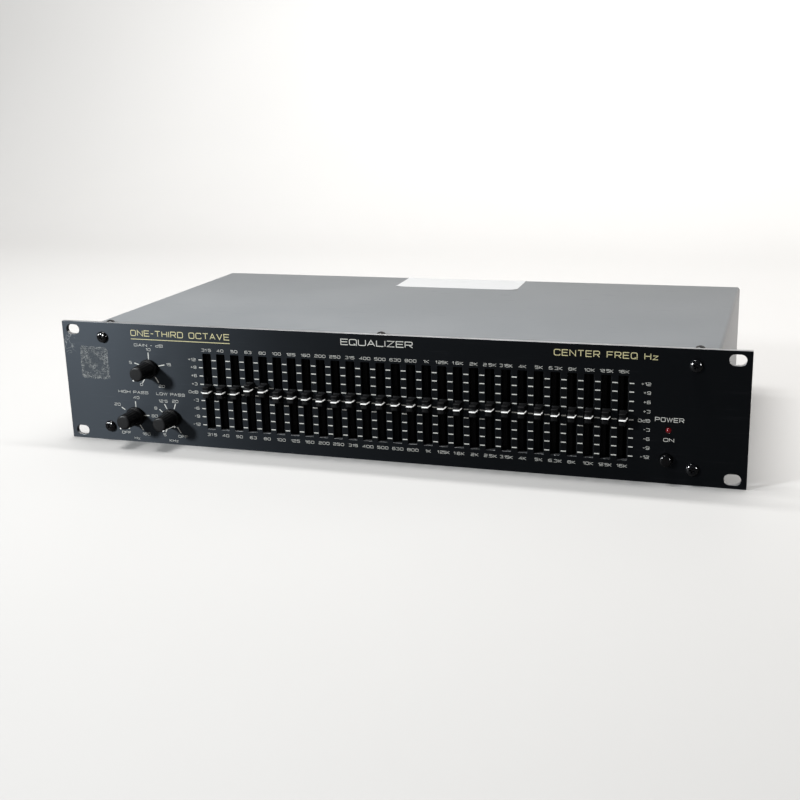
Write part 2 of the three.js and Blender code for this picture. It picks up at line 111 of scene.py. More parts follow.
class Paint:
    """A Principled material under construction, with short calls for the nodes that feed it."""

    def __init__(self, name, colour, roughness, metallic=0.0, specular=0.5):
        self.material = bpy.data.materials.new(name)
        self.material.use_nodes = True
        self.tree = self.material.node_tree
        self.shader = next(n for n in self.tree.nodes if n.type == "BSDF_PRINCIPLED")
        self.set("Base Color", (*colour, 1))
        self.set("Roughness", roughness)
        self.set("Metallic", metallic)
        self.set("Specular IOR Level", specular)
        self.where = self.tree.nodes.new("ShaderNodeTexCoord").outputs["Object"]

    def feed(self, socket, value):
        """Gives an input a number, a colour or another node's output."""
        if isinstance(value, bpy.types.NodeSocket):
            self.tree.links.new(value, socket)
        else:
            socket.default_value = value

    def set(self, name, value):
        self.feed(self.shader.inputs[name], value)

    def node(self, kind, inputs, **settings):
        made = self.tree.nodes.new(kind)
        for key, value in settings.items():
            setattr(made, key, value)
        for key, value in inputs.items():
            self.feed(made.inputs[key], value)
        return made

    def place(self, stretch=(1, 1, 1), shift=(0, 0, 0)):
        inputs = {"Vector": self.where, "Scale": stretch, "Location": shift}
        return self.node("ShaderNodeMapping", inputs).outputs["Vector"]

    def noise(self, size_mm, detail=3.0, stretch=(1, 1, 1), shift=(0, 0, 0), rough=0.5):
        """Cloudy noise from 0 to 1 whose blobs are about size_mm across."""
        inputs = {"Vector": self.place(stretch, shift), "Scale": 1 / (size_mm * MM)}
        inputs.update({"Detail": detail, "Roughness": rough})
        return self.node("ShaderNodeTexNoise", inputs).outputs["Fac"]

    def cells(self, size_mm, shift=(0, 0, 0)):
        inputs = {"Vector": self.place(shift=shift), "Scale": 1 / (size_mm * MM)}
        return self.node("ShaderNodeTexVoronoi", inputs, feature="DISTANCE_TO_EDGE").outputs["Distance"]

    def band(self, value, low, high, to_low=0.0, to_high=1.0):
        """Maps low..high to to_low..to_high, clamped, with soft ends."""
        inputs = {"Value": value, "From Min": low, "From Max": high, "To Min": to_low, "To Max": to_high}
        return self.node("ShaderNodeMapRange", inputs, interpolation_type="SMOOTHSTEP").outputs["Result"]

    def calc(self, kind, a, b=0.0):
        return self.node("ShaderNodeMath", {0: a, 1: b}, operation=kind).outputs[0]

    def times(self, a, b):
        return self.calc("MULTIPLY", a, b)

    def plus(self, a, b):
        return self.calc("ADD", a, b)

    def mix(self, share, a, b):
        """A colour between a and b."""
        a, b = [(*value, 1) if isinstance(value, tuple) else value for value in (a, b)]
        return self.node("ShaderNodeMix", {0: share, 6: a, 7: b}, data_type="RGBA").outputs[2]

    def axis(self, letter):
        """One coordinate of the point, in the piece's own metres."""
        return self.node("ShaderNodeSeparateXYZ", {"Vector": self.where}).outputs[letter]

    def bump(self, height, depth_mm, strength=1.0):
        inputs = {"Height": height, "Distance": depth_mm * MM, "Strength": strength}
        self.set("Normal", self.node("ShaderNodeBump", inputs).outputs["Normal"])


def between(paint, letter, low, high, soft):
    """1 between two limits on an axis and 0 outside, with soft ends, all in metres."""
    value = paint.axis(letter)
    rise = paint.band(value, low - soft, low + soft)
    fall = paint.band(value, high - soft, high + soft, 1.0, 0.0)
    return paint.times(rise, fall)


def inside_box(paint, x, z, soft):
    """1 inside a box on the panel's face and 0 outside, all in millimetres from the panel's middle."""
    across = between(paint, "X", x[0] * MM, x[1] * MM, soft * MM)
    up = between(paint, "Z", PANEL_MIDDLE + z[0] * MM, PANEL_MIDDLE + z[1] * MM, soft * MM)
    return paint.times(across, up)


def ridges(paint, size, width, shift):
    """Thin curling lines, as of torn fibres."""
    noise = paint.noise(size, 2, shift=shift)
    away = paint.calc("ABSOLUTE", paint.calc("SUBTRACT", noise, 0.5))
    return paint.band(away, 0.0, width, 1.0, 0.0)


def panel_paint():
    """Black finish over a hairline grain, with clouds, scratches and the residue of a sticker.

    The grain runs along X, so light spreads far up and down but little to the sides.
    """
    black, fibre = (0.0035, 0.0037, 0.0042), (0.3, 0.3, 0.28)
    glue, rubbed = (0.014, 0.015, 0.015), (0.045, 0.047, 0.05)
    p = Paint("panel_paint", black, 0.42)
    clouds = p.noise(60, 4, shift=(3, 1, 7))
    streaks = p.band(p.noise(1.3, 2, stretch=(0.035, 1, 1.5), shift=(1, 2, 3)), 0.6, 0.7)
    left = p.band(p.axis("X"), -0.225, -0.13, 1.0, 0.15)
    uneven = p.band(p.noise(26, 2, shift=(9, 0, 2)), 0.45, 0.65)
    faint = p.times(p.times(streaks, left), uneven)
    ragged = p.times(p.noise(3.5, 4, shift=(4, 4, 4), rough=0.65), 0.8)
    patch = p.band(p.plus(inside_box(p, (-228.4, -205.2), (1.8, 26.0), 2.6), ragged), 0.84, 1.0)
    inner = p.band(p.plus(inside_box(p, (-226.2, -207.3), (3.6, 24.0), 2.0), ragged), 0.75, 1.05)
    rim = p.calc("SUBTRACT", patch, inner)
    lines = p.calc("MAXIMUM", ridges(p, 3.2, 0.03, (1, 5, 2)), ridges(p, 1.5, 0.045, (7, 2, 1)))
    thick = p.band(p.noise(5, 2, shift=(2, 8, 5)), 0.4, 0.6, 0.1, 0.85)
    fibres = p.times(p.times(lines, patch), p.calc("MAXIMUM", thick, rim))
    corner = p.times(inside_box(p, (-240.8, -232.5), (20, 37), 2), ridges(p, 4.5, 0.02, (3, 1, 9)))
    chips = p.times(p.band(p.noise(0.9, 3, shift=(5, 5, 0), rough=0.7), 0.66, 0.7),
                  inside_box(p, (-241.3, -150), (43.2, 44.2), 0.3))
    worn = p.calc("MAXIMUM", p.times(corner, 0.7), chips)
    base = p.mix(p.times(faint, 0.5), black, rubbed)
    base = p.mix(patch, base, glue)
    base = p.mix(p.calc("MAXIMUM", fibres, worn), base, fibre)
    p.set("Base Color", base)
    rough = p.plus(p.band(clouds, 0.3, 0.7, 0.375, 0.40), p.times(patch, 0.15))
    p.set("Roughness", p.plus(rough, p.times(faint, 0.08)))
    p.set("Anisotropic", 0.905)
    up = p.node("ShaderNodeVectorTransform", {"Vector": (0, 0, 1)},
                vector_type="VECTOR", convert_from="OBJECT", convert_to="WORLD")
    p.set("Tangent", up.outputs["Vector"])
    # Painted reflection colour: the bluish cast of the window light's reflection is put in the paint's
    # specular tint, while the lamp stays nearly white.
    p.set("Specular Tint", (0.74, 0.86, 1.0, 1))
    p.set("Specular IOR Level", 0.345)
    p.bump(p.plus(p.noise(0.35, 2), p.times(fibres, 3.0)), 0.012, 0.35)
    return p.material


def cover_paint():
    """Smooth grey paint with a light orange peel, dust and faint rubs."""
    p = Paint("cover_paint", (0.235, 0.245, 0.25), 0.5, specular=0.3)
    rubs = p.band(p.noise(3.5, 3, stretch=(0.2, 1, 1)), 0.62, 0.75)
    dust = p.noise(90, 3, shift=(2, 5, 1))
    p.set("Base Color", p.mix(p.band(dust, 0.35, 0.7), (0.235, 0.247, 0.256), (0.262, 0.272, 0.28)))
    p.set("Roughness", p.plus(p.band(dust, 0.3, 0.7, 0.46, 0.54), p.times(rubs, 0.08)))
    p.bump(p.noise(1.8, 2), 0.02, 0.35)
    return p.material


def bare_metal(name, colour, grain, roughness, stretch):
    """Metal with a fine grain along one direction."""
    p = Paint(name, colour, roughness, 1.0)
    lines = p.noise(grain, 4, stretch=stretch)
    p.set("Roughness", p.band(lines, 0.3, 0.7, roughness - 0.08, roughness + 0.1))
    dull = tuple(0.8 * c for c in colour)
    p.set("Base Color", p.mix(p.band(p.noise(25, 3), 0.35, 0.7), colour, dull))
    p.bump(lines, 0.003, 0.3)
    return p.material


def dust_and_grain(p, colour, dusty):
    dust = p.band(p.noise(2.2, 5, rough=0.65), 0.52, 0.72, 0.0, dusty)
    p.set("Base Color", p.mix(dust, colour, (0.2, 0.19, 0.175)))
    p.bump(p.noise(0.25, 2), 0.008, 0.5)
    return p.material


def moulded(name, colour, roughness, dusty=0.0, specular=0.5):
    """Moulded plastic: fine grain, slight cloudiness and, where asked, dust."""
    p = Paint(name, colour, roughness, specular=specular)
    p.set("Roughness", p.band(p.noise(4, 3), 0.3, 0.7, roughness - 0.05, roughness + 0.07))
    return dust_and_grain(p, colour, dusty)


def knob_plastic():
    """Dull black flanks and a satin front face."""
    colour = (0.003, 0.003, 0.0035)
    p = Paint("knob_plastic", colour, 0.45)
    front = 0.018  # metres out from the panel, a little short of the knob's front face
    face = p.band(p.axis("Z"), front - 0.0001, front + 0.0001)
    p.set("Specular IOR Level", p.band(face, 0, 1, 0.22, 0.45))
    return dust_and_grain(p, colour, 0.01)


def black_screw():
    """Glossy black oxide with a few rubbed spots."""
    p = Paint("black_screw", (0.004, 0.004, 0.005), 0.16)
    worn = p.band(p.noise(0.7, 4, rough=0.7), 0.62, 0.7)
    p.set("Base Color", p.mix(p.times(worn, 0.15), (0.004, 0.004, 0.005), (0.3, 0.29, 0.28)))
    p.set("Roughness", p.band(p.noise(1.5, 3), 0.3, 0.7, 0.07, 0.13))
    p.bump(p.noise(0.3, 2), 0.004, 0.3)
    return p.material


def red_lens():
    p = Paint("red_lens", (0.14, 0.004, 0.008), 0.16)
    p.set("Subsurface Weight", 0.15)
    # Painted highlight: a faint, mottled red emission brightens the lens's core in place of a reflected
    # highlight.
    p.set("Emission Color", p.mix(p.noise(0.8, 1), (0.6, 0.01, 0.02), (0.9, 0.04, 0.06)))
    p.set("Emission Strength", 0.05)
    p.set("Coat Weight", 0.6)
    return p.material


def ink(name, colour):
    """Screen-printed ink, slightly uneven in colour."""
    p = Paint(name, colour, 0.55)
    thin = tuple(0.72 * c for c in colour)
    p.set("Base Color", p.mix(p.band(p.noise(0.8, 3), 0.4, 0.75), colour, thin))
    p.bump(p.noise(0.2, 2), 0.004, 0.4)
    return p.material


def board_paint():
    """The slider board: black potentiometer cases in front, green printed board behind."""
    p = Paint("circuit_board", (0.02, 0.09, 0.035), 0.4)
    case_front, case_back = -0.1040, -0.1037  # the cases' black gives way to the board's green here
    behind = p.band(p.axis("Y"), case_front, case_back)
    tracks = p.band(p.cells(4, shift=(1, 2, 3)), 0.02, 0.06)
    green = p.mix(tracks, (0.03, 0.16, 0.06), (0.015, 0.075, 0.03))
    p.set("Base Color", p.mix(behind, (0.004, 0.004, 0.0045), green))
    p.set("Roughness", p.band(behind, 0, 1, 0.75, 0.35))
    p.bump(tracks, 0.02, 0.5)
    return p.material


def main_board_paint():
    p = Paint("main_board", (0.02, 0.1, 0.04), 0.4)
    tracks = p.band(p.cells(5), 0.03, 0.08)
    green = p.mix(tracks, (0.03, 0.17, 0.06), (0.015, 0.08, 0.03))
    parts = p.band(p.axis("Z"), 0.0098, 0.0100)
    p.set("Base Color", p.mix(parts, green, p.mix(p.noise(20, 1), (0.01, 0.01, 0.012), (0.05, 0.08, 0.25))))
    p.bump(tracks, 0.02, 0.5)
    return p.material


def tape():
    p = Paint("winding_tape", (0.62, 0.42, 0.08), 0.35)
    layers = p.noise(1.5, 2, stretch=(0.05, 0.05, 1))
    p.set("Base Color", p.mix(layers, (0.5, 0.3, 0.05), (0.72, 0.5, 0.12)))
    p.bump(layers, 0.05, 0.6)
    return p.material


def label_paper():
    p = Paint("label_paper", (0.72, 0.72, 0.715), 0.6)
    p.set("Base Color", p.mix(p.noise(14, 5), (0.7, 0.7, 0.695), (0.76, 0.76, 0.755)))
    p.bump(p.noise(0.5, 4), 0.01, 0.5)
    return p.material


def floor_paint():
    """A matt floor that the camera sees paler than the object does, and that mirrors in it darker still."""
    p = Paint("floor", (0.80, 0.785, 0.765), 0.55)
    plain = p.mix(p.noise(300, 3), (0.44, 0.433, 0.422), (0.46, 0.453, 0.442))
    glossy = p.node("ShaderNodeLightPath", {}).outputs["Is Glossy Ray"]
    seen = p.node("ShaderNodeLightPath", {}).outputs["Is Camera Ray"]
    far_side, near_side = -0.119, -0.124  # just behind and just in front of the panel's face
    near = p.band(p.axis("Y"), near_side, far_side, 1.0, 0.0)
    bounced = p.mix(p.times(near, glossy), (0.22, 0.21, 0.2), (0.035, 0.034, 0.033))
    p.set("Base Color", p.mix(seen, bounced, plain))
    p.bump(p.noise(2, 3), 0.02, 0.3)
    return p.material


MATERIALS = {
    "panel_paint": panel_paint(),
    "cover_paint": cover_paint(),
    "zinc_steel": bare_metal("zinc_steel", (0.55, 0.56, 0.57), 1.2, 0.38, (0.08, 1, 1)),
    "nickel_plate": bare_metal("nickel_plate", (0.62, 0.61, 0.58), 0.25, 0.3, (0.2, 1, 1)),
    # Painted highlight: this light grey metal goes only on the panel edges that the light catches.
    "bare_edge": bare_metal("bare_edge", (0.60, 0.61, 0.62), 0.8, 0.42, (0.05, 1, 1)),
    "cap_plastic": moulded("cap_plastic", (0.0035, 0.0035, 0.004), 0.46, 0.012, 0.18),
    "knob_plastic": knob_plastic(),
    "black_plastic": moulded("black_plastic", (0.014, 0.014, 0.015), 0.45, 0.04),
    "gloss_black": moulded("gloss_black", (0.003, 0.003, 0.0035), 0.12, 0, 0.4),
    "black_screw": black_screw(),
    "red_lens": red_lens(),
    "legend_ink": ink("legend_ink", (0.76, 0.76, 0.71)),
    "gold_ink": ink("gold_ink", (0.74, 0.68, 0.38)),
    "pointer_white": ink("pointer_white", (0.92, 0.92, 0.90)),
    "circuit_board": board_paint(),
    "main_board": main_board_paint(),
    "winding_tape": tape(),
    "label_paper": label_paper(),
    "floor": floor_paint(),
}


# ---------------------------------------------------------------- mesh helpers

def add(item):
    """Puts an object in the scene."""
    bpy.context.scene.collection.objects.link(item)


def show(name, mesh, paint, body, replaced=(), crease=35, where=None):
    """Puts a mesh in the scene as a piece of the object."""
    piece = bpy.data.objects.new(name, mesh)
    add(piece)
    if where is not None:
        piece.matrix_world = where
    if not mesh.materials:
        mesh.materials.append(MATERIALS[paint])
        mesh.shade_smooth()
        mesh.set_sharp_from_angle(angle=math.radians(crease))
    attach(piece, body)
    if replaced:
        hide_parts(*replaced)
    return piece


def mesh_from(name, points, faces, sheet=None):
    mesh = bpy.data.meshes.new(name)
    mesh.from_pydata([Vector(p) for p in points], [], faces)
    mesh.transform(Matrix.Scale(MM, 4) if sheet is None else sheet)
    mesh.validate()
    return mesh


def fix_normals(mesh, weld=0.0, bevel=0.0, steps=2):
    """Turns all faces outwards, after welding near points and before rounding the edges, in metres."""
    work = bmesh.new()
    work.from_mesh(mesh)
    if weld:
        bmesh.ops.remove_doubles(work, verts=work.verts, dist=weld)
    bmesh.ops.recalc_face_normals(work, faces=work.faces)
    if bevel:
        bmesh.ops.bevel(work, geom=list(work.edges), offset=bevel, segments=steps, profile=0.5,
                        affect="EDGES", clamp_overlap=True)
    work.to_mesh(mesh)
    work.free()


def soften(points, radius, closed=False, steps=4, sharp=()):
    """Rounds the corners of an outline, apart from those whose numbers are in sharp."""
    points = [Vector(p) for p in points]
    count = len(points)
    made = []
    for i, point in enumerate(points):
        if i in sharp or (not closed and i in (0, count - 1)):
            made.append(point)
            continue
        before, after = points[i - 1] - point, points[(i + 1) % count] - point
        reach = min(radius, before.length * 0.49, after.length * 0.49)
        start, end = point + before.normalized() * reach, point + after.normalized() * reach
        for k in range(steps + 1):
            t = k / steps
            made.append(start * (1 - t) ** 2 + point * 2 * t * (1 - t) + end * t ** 2)
    return made


def rounded_box(x, y, radius, steps=4):
    """A closed outline between two limits on each axis."""
    corners = [(x[0], y[0]), (x[1], y[0]), (x[1], y[1]), (x[0], y[1])]
    return soften(corners, radius, True, steps) if radius else [Vector(c) for c in corners]


def about(middle, size):
    return middle - size / 2, middle + size / 2


def ring(x, y, radius, sides):
    turns = [2 * math.pi * k / sides for k in range(sides)]
    return [Vector((x + radius * math.cos(t), y + radius * math.sin(t))) for t in turns]


def obround(x, y, width, height, steps=12):
    """A closed slot outline with round ends, wider than it is tall."""
    radius, reach = height / 2, (width - height) / 2
    ends = []
    for side in (1, -1):
        turns = [math.pi * (k / steps - 0.5) for k in range(steps + 1)]
        ends += [Vector((x + side * (reach + radius * math.cos(t)), y + side * radius * math.sin(t)))
                 for t in turns]
    return ends


def plate(name, loops, low, high, bevel, sheet, bevel_steps=2):
    """A flat plate with holes, from height low to high over the sheet, every edge rounded by bevel.

    The loops are the outline and the holes, drawn already moved inwards by the bevel.
    """
    curve = bpy.data.curves.new(name, "CURVE")
    curve.dimensions = "2D"
    curve.fill_mode = "BOTH"
    curve.extrude = (high - low) / 2 - bevel
    curve.bevel_depth = bevel
    curve.bevel_resolution = bevel_steps
    for loop in loops:
        spline = curve.splines.new("POLY")
        spline.points.add(len(loop) - 1)
        for point, place in zip(spline.points, loop):
            point.co = (place[0], place[1], 0, 1)
        spline.use_cyclic_u = True
    holder = bpy.data.objects.new(name, curve)
    add(holder)
    bpy.context.view_layer.update()
    mesh = bpy.data.meshes.new_from_object(holder.evaluated_get(bpy.context.evaluated_depsgraph_get()))
    bpy.data.objects.remove(holder)
    mesh.transform(sheet @ Matrix.Translation((0, 0, (low + high) / 2)))
    fix_normals(mesh, weld=1e-7)
    return mesh


def turned(name, profile, sides, sheet=None, depth_at=None):
    """A turned piece: the profile is (radius, height) from the axis at the back to the axis at the front."""
    points, faces = [], []
    rings = []
    for radius, height in profile:
        if radius < 1e-6:
            rings.append([len(points)])
            points.append((0, 0, height))
            continue
        rings.append(list(range(len(points), len(points) + sides)))
        for k in range(sides):
            turn = 2 * math.pi * k / sides
            r = radius - (depth_at(turn, height) if depth_at else 0)
            points.append((r * math.cos(turn), r * math.sin(turn), height))
    for lower, upper in zip(rings, rings[1:]):
        for k in range(sides):
            n = (k + 1) % sides
            if len(lower) == 1 and len(upper) > 1:
                faces.append((lower[0], upper[n], upper[k]))
            elif len(upper) == 1 and len(lower) > 1:
                faces.append((lower[k], lower[n], upper[0]))
            elif len(lower) > 1:
                faces.append((lower[k], lower[n], upper[n], upper[k]))
    mesh = mesh_from(name, points, faces, sheet)
    fix_normals(mesh)
    return mesh


def solid(name, points, faces, bevel, steps=2, sheet=None):
    """A closed faceted piece with every edge rounded."""
    mesh = mesh_from(name, points, faces)
    fix_normals(mesh, bevel=bevel * MM, steps=steps)
    if sheet is not None:
        mesh.transform(sheet @ Matrix.Scale(1 / MM, 4))
    return mesh


def prism(name, outline, low, high, bevel, steps=2, sheet=None):
    """An outline on the sheet made into a block from height low to high."""
    count = len(outline)
    points = [(p[0], p[1], low) for p in outline] + [(p[0], p[1], high) for p in outline]
    sides = [(k, (k + 1) % count, count + (k + 1) % count, count + k) for k in range(count)]
    faces = [tuple(reversed(range(count))), tuple(range(count, 2 * count)), *sides]
    return solid(name, points, faces, bevel, steps, sheet)


def box(name, x, y, z, bevel, sheet=None):
    return prism(name, [(x[0], y[0]), (x[1], y[0]), (x[1], y[1]), (x[0], y[1])], z[0], z[1], bevel, 2, sheet)


def joined(name, meshes):
    """Several meshes as one."""
    work = bmesh.new()
    for mesh in meshes:
        work.from_mesh(mesh)
    whole = bpy.data.meshes.new(name)
    work.to_mesh(whole)
    work.free()
    return whole


def carved(mesh, tools):
    """A mesh with each tool mesh cut out of it."""
    for tool in tools:
        body = bpy.data.objects.new("carved_body", mesh)
        cutter = bpy.data.objects.new("carved_cutter", tool)
        for item in (body, cutter):
            add(item)
        change = body.modifiers.new("cut", "BOOLEAN")
        change.operation = "DIFFERENCE"
        change.solver = "EXACT"
        change.object = cutter
        bpy.context.view_layer.update()
        mesh = bpy.data.meshes.new_from_object(body.evaluated_get(bpy.context.evaluated_depsgraph_get()))
        bpy.data.objects.remove(body)
        bpy.data.objects.remove(cutter)
    return mesh


# ---------------------------------------------------------------- lettering

# Each letter is one or more strokes on a cell 1 high: corners are rounded unless marked !, and @ closes a
# stroke on itself. The first number is the cell's width.
GLYPHS = {
    "0": (1, "@0,0 1,0 1,1 0,1"), "1": (0.4, "0,.76! .4,1! .4,0"),
    "2": (1, "0,1 1,1 1,.5 0,.5 0,0! 1,0"), "3": (1, "0,1 1,1 1,.52 .3,.52/.3,.52 1,.52 1,0 0,0"),
    "4": (1, ".78,0 .78,1! 0,.28! 1,.28"), "5": (1, "1,1 0,1! 0,.58! 1,.58 1,0 0,0"),
    "6": (1, "1,1 0,1 0,0 1,0 1,.56 .04,.56"), "8": (1, "@0,0 1,0 1,1 0,1/0,.53 1,.53"),
    "9": (1, "0,0 1,0 1,1 0,1 0,.44 .96,.44"), ".": (0.02, "0,0 .02,0"),
    "+": (0.7, "0,.5 .7,.5/.35,.15 .35,.85"), "-": (0.5, "0,.5 .5,.5"), " ": (0.5, ""),
    "A": (1, "0,0 .5,1! 1,0/.17,.3 .83,.3"), "B": (1, "@0,0! 1,0 1,1 0,1!/0,.53 1,.53"),
    "C": (1, "1,.78 1,1 0,1 0,0 1,0 1,.22"), "D": (1, "@0,0! 1,0 1,1 0,1!"),
    "E": (0.95, "1,1 0,1! 0,0! 1,0/0,.52 .9,.52"), "F": (0.95, "1,1 0,1! 0,0/0,.5 .88,.5"),
    "G": (1, "1,.78 1,1 0,1 0,0 1,0 1,.48! .55,.48"), "H": (1, "0,0 0,1/1,0 1,1/0,.52 1,.52"),
    "I": (0.02, "0,0 0,1"), "K": (1, "0,0 0,1/1,1 .12,.5! 1,0/0,.5 .2,.5"),
    "L": (0.9, "0,1 0,0! .95,0"), "N": (1, "0,0 0,1! 1,0! 1,1"), "O": (1, "@0,0 1,0 1,1 0,1"),
    "P": (1, "0,0 0,1! 1,1 1,.44 0,.44"), "Q": (1, "@0,0 1,0 1,1 0,1/.6,.22 1.05,-.08"),
    "R": (1, "0,0 0,1! 1,1 1,.44 0,.44/.5,.44 1,0"), "S": (1, "1,.8 1,1 0,1 0,.52 1,.52 1,0 0,0 0,.2"),
    "T": (1, "0,1 1,1/.5,1 .5,0"), "U": (1, "0,1 0,0 1,0 1,1"), "V": (1, "0,1 .5,0! 1,1"),
    "W": (1.3, "0,1 .33,0! .65,1! .97,0! 1.3,1"), "Z": (1, "0,1 1,1! 0,0! 1,0"),
    "d": (0.85, "@0,0 .85,0 .85,.64 0,.64/.85,0 .85,1"), "z": (0.8, "0,.64 .8,.64! 0,0! .8,0"),
}
CORNER = 0.27  # how far a letter's corners are rounded, as a share of its height


def glyph_strokes(letter, left, base, height, stretch):
    """The strokes of one letter as (points, closed)."""
    made = []
    for stroke in filter(None, GLYPHS[letter][1].split("/")):
        closed = stroke.startswith("@")
        words = stroke.lstrip("@").split()
        sharp = [i for i, word in enumerate(words) if word.endswith("!")]
        spots = [[float(v) for v in word.rstrip("!").split(",")] for word in words]
        points = [(left + x * height * stretch, base + y * height) for x, y in spots]
        made.append((soften(points, CORNER * height, closed, 3, sharp), closed))
    return made


def lettering(text, x, y, height, stretch=1.0, weight=0.13, space=0.3, anchor=0.5, length=None):
    """Strokes for a line of text; x is where its middle, or other share of its length, comes."""
    line = weight * height
    tall = height - line
    step = space * height + line
    widths = [GLYPHS[letter][0] * tall for letter in text]
    if length:
        stretch = (length - line - step * (len(text) - 1)) / sum(widths)
    total = stretch * sum(widths) + step * (len(text) - 1)
    left = x - anchor * total
    strokes = []
    for letter, width in zip(text, widths):
        for points, closed in glyph_strokes(letter, left, y - tall / 2, tall, stretch):
            strokes.append((points, closed, line))
        left += width * stretch + step
    return strokes


def bar(x0, y0, x1, y1, width):
    return [Vector((x0, y0)), Vector((x1, y1))], False, width


def printed(name, strokes, sheet, low=-0.02, high=0.045):
    """Ink: every stroke becomes a thin closed ribbon on the sheet."""
    points, faces = [], []
    for path, closed, width in strokes:
        count, first = len(path), len(points)
        for i, point in enumerate(path):
            before = point - path[i - 1] if closed or i else path[1] - point
            after = path[(i + 1) % count] - point if closed or i < count - 1 else before
            a, b = before.normalized(), after.normalized()
            normal = Vector((-a.y - b.y, a.x + b.x)).normalized()
            reach = width / 2 / max(0.5, normal.dot(Vector((-a.y, a.x))))
            for side, height in ((1, high), (-1, high), (-1, low), (1, low)):
                points.append((*(point + normal * reach * side), height))
        for i in range(count if closed else count - 1):
            here, there = first + 4 * i, first + 4 * ((i + 1) % count)
            for k in range(4):
                faces.append((here + k, here + (k + 1) % 4, there + (k + 1) % 4, there + k))
        if not closed:
            end = first + 4 * (count - 1)
            faces += [(first + 3, first + 2, first + 1, first), (end, end + 1, end + 2, end + 3)]
    mesh = mesh_from(name, points, faces, sheet)
    fix_normals(mesh)
    return mesh


# ---------------------------------------------------------------- front panel

SLIDERS = [body for body in frame["bodies"] if body.startswith("slider_")]
SLIDERS.sort(key=lambda body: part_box(body)[0].x)
CAP_SHIFT = 0.6  # how far the sliders stand right of the middles of their slots
SLIDER_X = [spot(PANEL, body).x - CAP_SHIFT for body in SLIDERS]
PITCH = (SLIDER_X[-1] - SLIDER_X[0]) / (len(SLIDERS) - 1)
SLOT = {"width": 6.3, "bottom": -30.4, "top": 24.8}
ROTARIES = {name: spot(PANEL, f"{name}_knob") for name in ("gain", "high_pass", "low_pass")}
FRONT_SCREWS = [f"front_screw_{row}_{side}" for row in ("upper", "lower") for side in ("left", "right")]
HOLE_RADIUS = {"knob": 5.8, "screw": 2.4, "button": 4.3, "lamp": 1.9}
RACK = {"columns": 465.1, "rows": 76.2, "width": 10.5, "height": 7.1}


def front_panel():
    edge = 0.18
    half_x, half_y = PANEL_WIDTH / 2 - edge, PANEL_HEIGHT / 2 - edge
    loops = [rounded_box((-half_x, half_x), (-half_y, half_y), 0.5)]
    for side in (-0.5, 0.5):
        for row in (-0.5, 0.5):
            place = side * RACK["columns"], row * RACK["rows"]
            loops.append(obround(*place, RACK["width"] + 2 * edge, RACK["height"] + 2 * edge))
    for x in SLIDER_X:
        wide = about(x, SLOT["width"] + 2 * edge)
        loops.append(rounded_box(wide, (SLOT["bottom"] - edge, SLOT["top"] + edge), 0.5, 3))
    holes = [("knob", centre, 32) for centre in ROTARIES.values()]
    holes += [("screw", spot(PANEL, node), 20) for node in FRONT_SCREWS]
    holes += [("button", spot(PANEL, "power_button"), 40), ("lamp", spot(PANEL, "power_led"), 24)]
    for kind, centre, sides in holes:
        loops.append(ring(centre.x, centre.y, HOLE_RADIUS[kind] + edge, sides))
    mesh = plate("front_panel_plate", loops, -PANEL_THICKNESS, 0, edge, PANEL)
    mesh.materials.append(MATERIALS["panel_paint"])
    mesh.materials.append(MATERIALS["bare_edge"])
    # Painted highlight: faces that face up, and the panel's right end face, take the light grey edge metal
    # because light catches them there; the other edges keep the black paint.
    for face in mesh.polygons:
        lit_right_edge = face.center.x > panel_high.x - 0.3 * MM and face.normal.x > 0.4
        if face.normal.z > 0.4 or lit_right_edge:
            face.material_index = 1
    show("front_panel_plate", mesh, "panel_paint", "root", replaced=["front_panel"])


FREQUENCIES = ("31.5 40 50 63 80 100 125 160 200 250 315 400 500 630 800 1K 1.25K 1.6K 2K 2.5K 3.15K 4K 5K "
               "6.3K 8K 10K 12.5K 16K").split()
LEVELS = [("+12", 20.2), ("+9", 14.6), ("+6", 8.55), ("+3", 2.5), ("0dB", -3.5), ("-3", -9.4), ("-6", -15.4),
          ("-9", -21.35), ("-12", -27.4)]


def legend(name, strokes, paint="legend_ink"):
    """Shows strokes as ink on the panel."""
    show(name, printed(name, strokes, PANEL), paint, "root")


def scale_print():
    """Tick marks between the slots, the decibel scales at both ends and the band labels."""
    strokes, half, tick = [], 1.68, 0.66
    for _, height in LEVELS:
        for left, right in zip(SLIDER_X, SLIDER_X[1:]):
            middle = (left + right) / 2
            strokes.append(bar(middle - half, height, middle + half, height, tick))
        first, last = SLIDER_X[0] - PITCH / 2, SLIDER_X[-1] + PITCH / 2
        strokes.append(bar(first - 1.2, height, first + half, height, tick))
        strokes.append(bar(last - half, height, last + 1.2, height, tick))
    legend("scale_ticks", strokes)
    words = []
    for text, height in LEVELS:
        for right_end in (-134.4, 181.3):
            words += lettering(text, right_end, height, 2.05, 1.12, 0.115, 0.24, anchor=1)
    legend("scale_numbers", words)
    bands = []
    for text, x in zip(FREQUENCIES, SLIDER_X):
        stretch, space = (1.16, 0.26) if len(text) < 5 else (1.0, 0.16)
        for height in (27.4, -34.4):
            bands += lettering(text, x, height, 2.0, stretch, 0.115, space)
    legend("band_numbers", bands)


